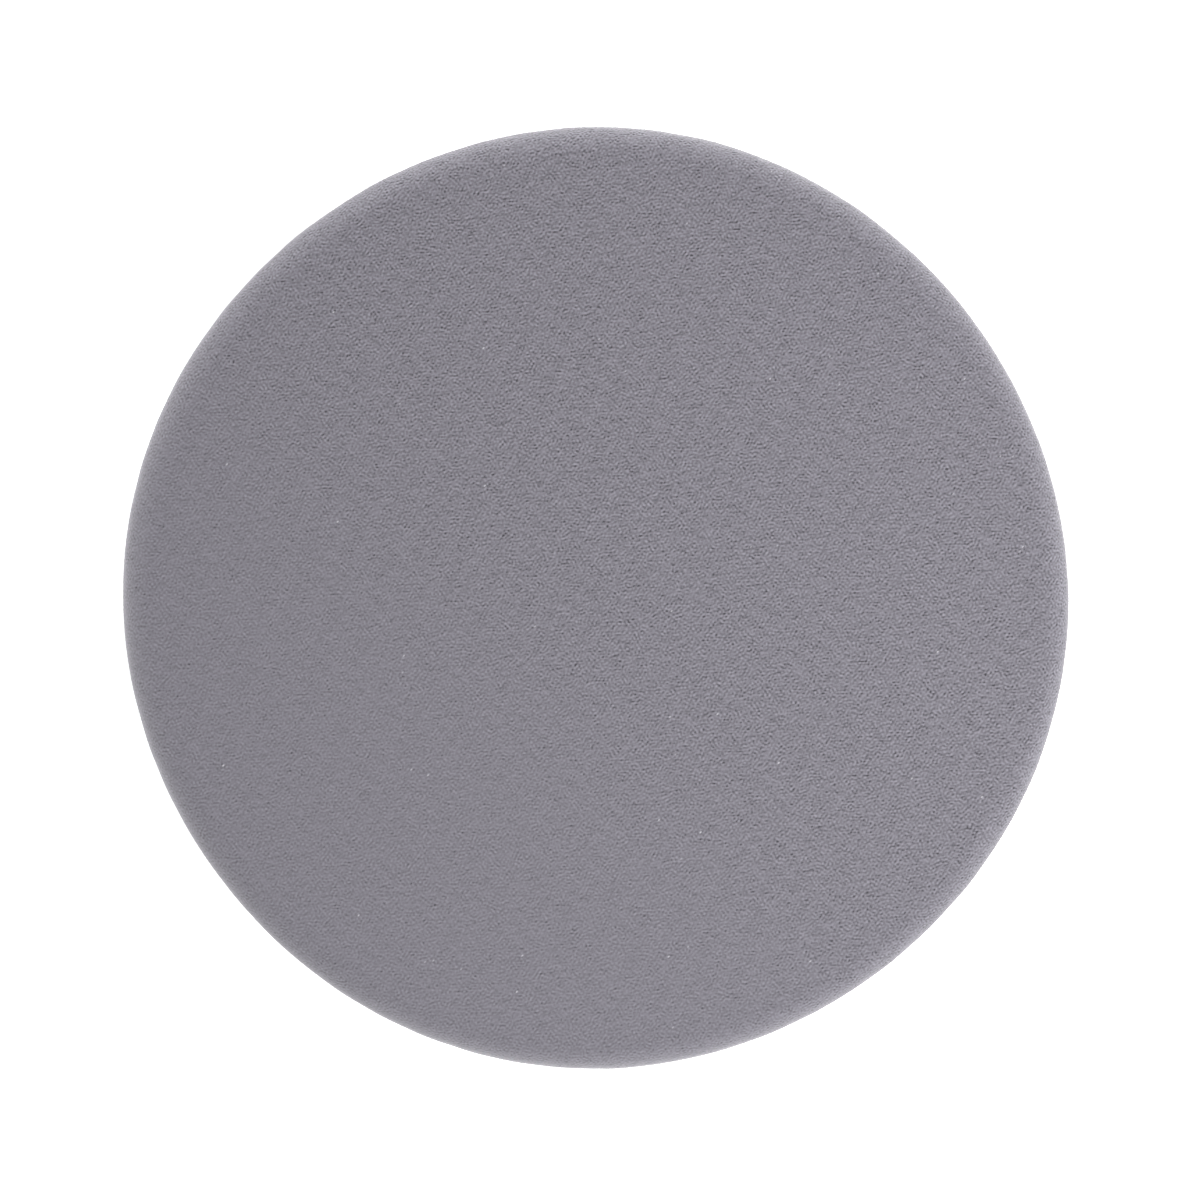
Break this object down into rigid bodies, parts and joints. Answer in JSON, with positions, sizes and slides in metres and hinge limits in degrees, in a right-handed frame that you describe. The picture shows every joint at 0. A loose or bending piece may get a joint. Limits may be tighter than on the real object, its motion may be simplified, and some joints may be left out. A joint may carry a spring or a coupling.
{
  "type": "foam polishing pad",
  "caption": "Round grey open-cell foam finishing pad with a flat face, softly rounded rim and a hook-and-loop backing for a polishing machine.",
  "frame": {"origin": "centre of the loop face, the face that presses on the machine's backing plate and that the pad lies on", "axes": "+Z along the pad's turning axis, from the loop face to the working foam face; the pad is round, so +X and +Y are any two directions across it"},
  "size_m": [0.15, 0.15, 0.0273],
  "materials": {
    "foam": "matte",
    "film": "satin",
    "ground_cloth": "matte",
    "loop_nylon": "matte"
  },
  "bodies": {
    "root": {"foam_disc": "foam", "bonding_film": "film", "loop_ground_cloth": "ground_cloth", "loop_pile": "loop_nylon"}
  },
  "joints": []
}
